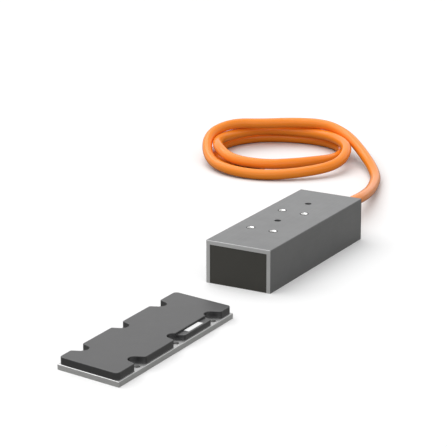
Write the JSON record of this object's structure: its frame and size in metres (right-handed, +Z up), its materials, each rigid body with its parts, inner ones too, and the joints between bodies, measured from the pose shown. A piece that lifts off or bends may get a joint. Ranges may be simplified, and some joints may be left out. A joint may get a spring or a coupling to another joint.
{
  "type": "linear motor",
  "caption": "Iron-core linear motor in two halves: a flat magnet track with rounded screw notches, and a block-shaped coil unit with a coiled motor cable.",
  "frame": {"origin": "middle of the footprint of both halves on the floor, without the free cable", "axes": "+Y along the travel from the magnet track towards the coil unit and its cable exit, +X to the right across the motor, +Z up"},
  "size_m": [0.2203, 0.5724, 0.0315],
  "materials": {
    "track_steel": "ground steel",
    "magnet_metal": "nickel plated",
    "track_cover": "dark satin",
    "label_white": "matt film",
    "housing_metal": "fine brushed",
    "resin": "cast resin",
    "lamination_steel": "stamped edges",
    "bright_steel": "turned, bright",
    "winding_copper": "enamelled copper",
    "insulation": "paper and film",
    "lead_sleeving": "woven sleeving",
    "board_laminate": "coated laminate",
    "core_insulation": "black",
    "gland_nickel": "nickel plated",
    "gland_rubber": "soft",
    "cable_orange": "smooth satin"
  },
  "bodies": {
    "magnet_track": {"base_plate": "track_steel", "magnets_north": "magnet_metal", "magnets_south": "magnet_metal", "magnet_cover": "track_cover", "label": "label_white"},
    "coil_unit": {"housing": "housing_metal", "potting": "resin", "core": "lamination_steel", "core_rivets": "lamination_steel", "nut_bars": "bright_steel", "locating_bars": "bright_steel", "coils_phase_u": "winding_copper", "coils_phase_v": "winding_copper", "coils_phase_w": "winding_copper", "tooth_insulators": "insulation", "slot_wedges": "insulation", "phase_leads": "lead_sleeving", "star_bridge": "lead_sleeving", "thermal_sensor": "lead_sleeving", "connection_board": "board_laminate", "board_terminals": "bright_steel", "cable_leads": "core_insulation", "rear_end_plate": "housing_metal", "gland_body": "gland_nickel", "gland_seal": "gland_rubber", "gland_nut": "gland_nickel", "motor_cable": "cable_orange", "cable_coil": "cable_orange", "cable_end_sleeve": "core_insulation", "cable_cores": "core_insulation", "core_ferrules": "bright_steel"}
  },
  "joints": [
    {"name": "unit_travel", "type": "slide", "parent": "magnet_track", "child": "coil_unit", "axis": [0, 1, 0], "range_m": [-0.048, 0]}
  ]
}
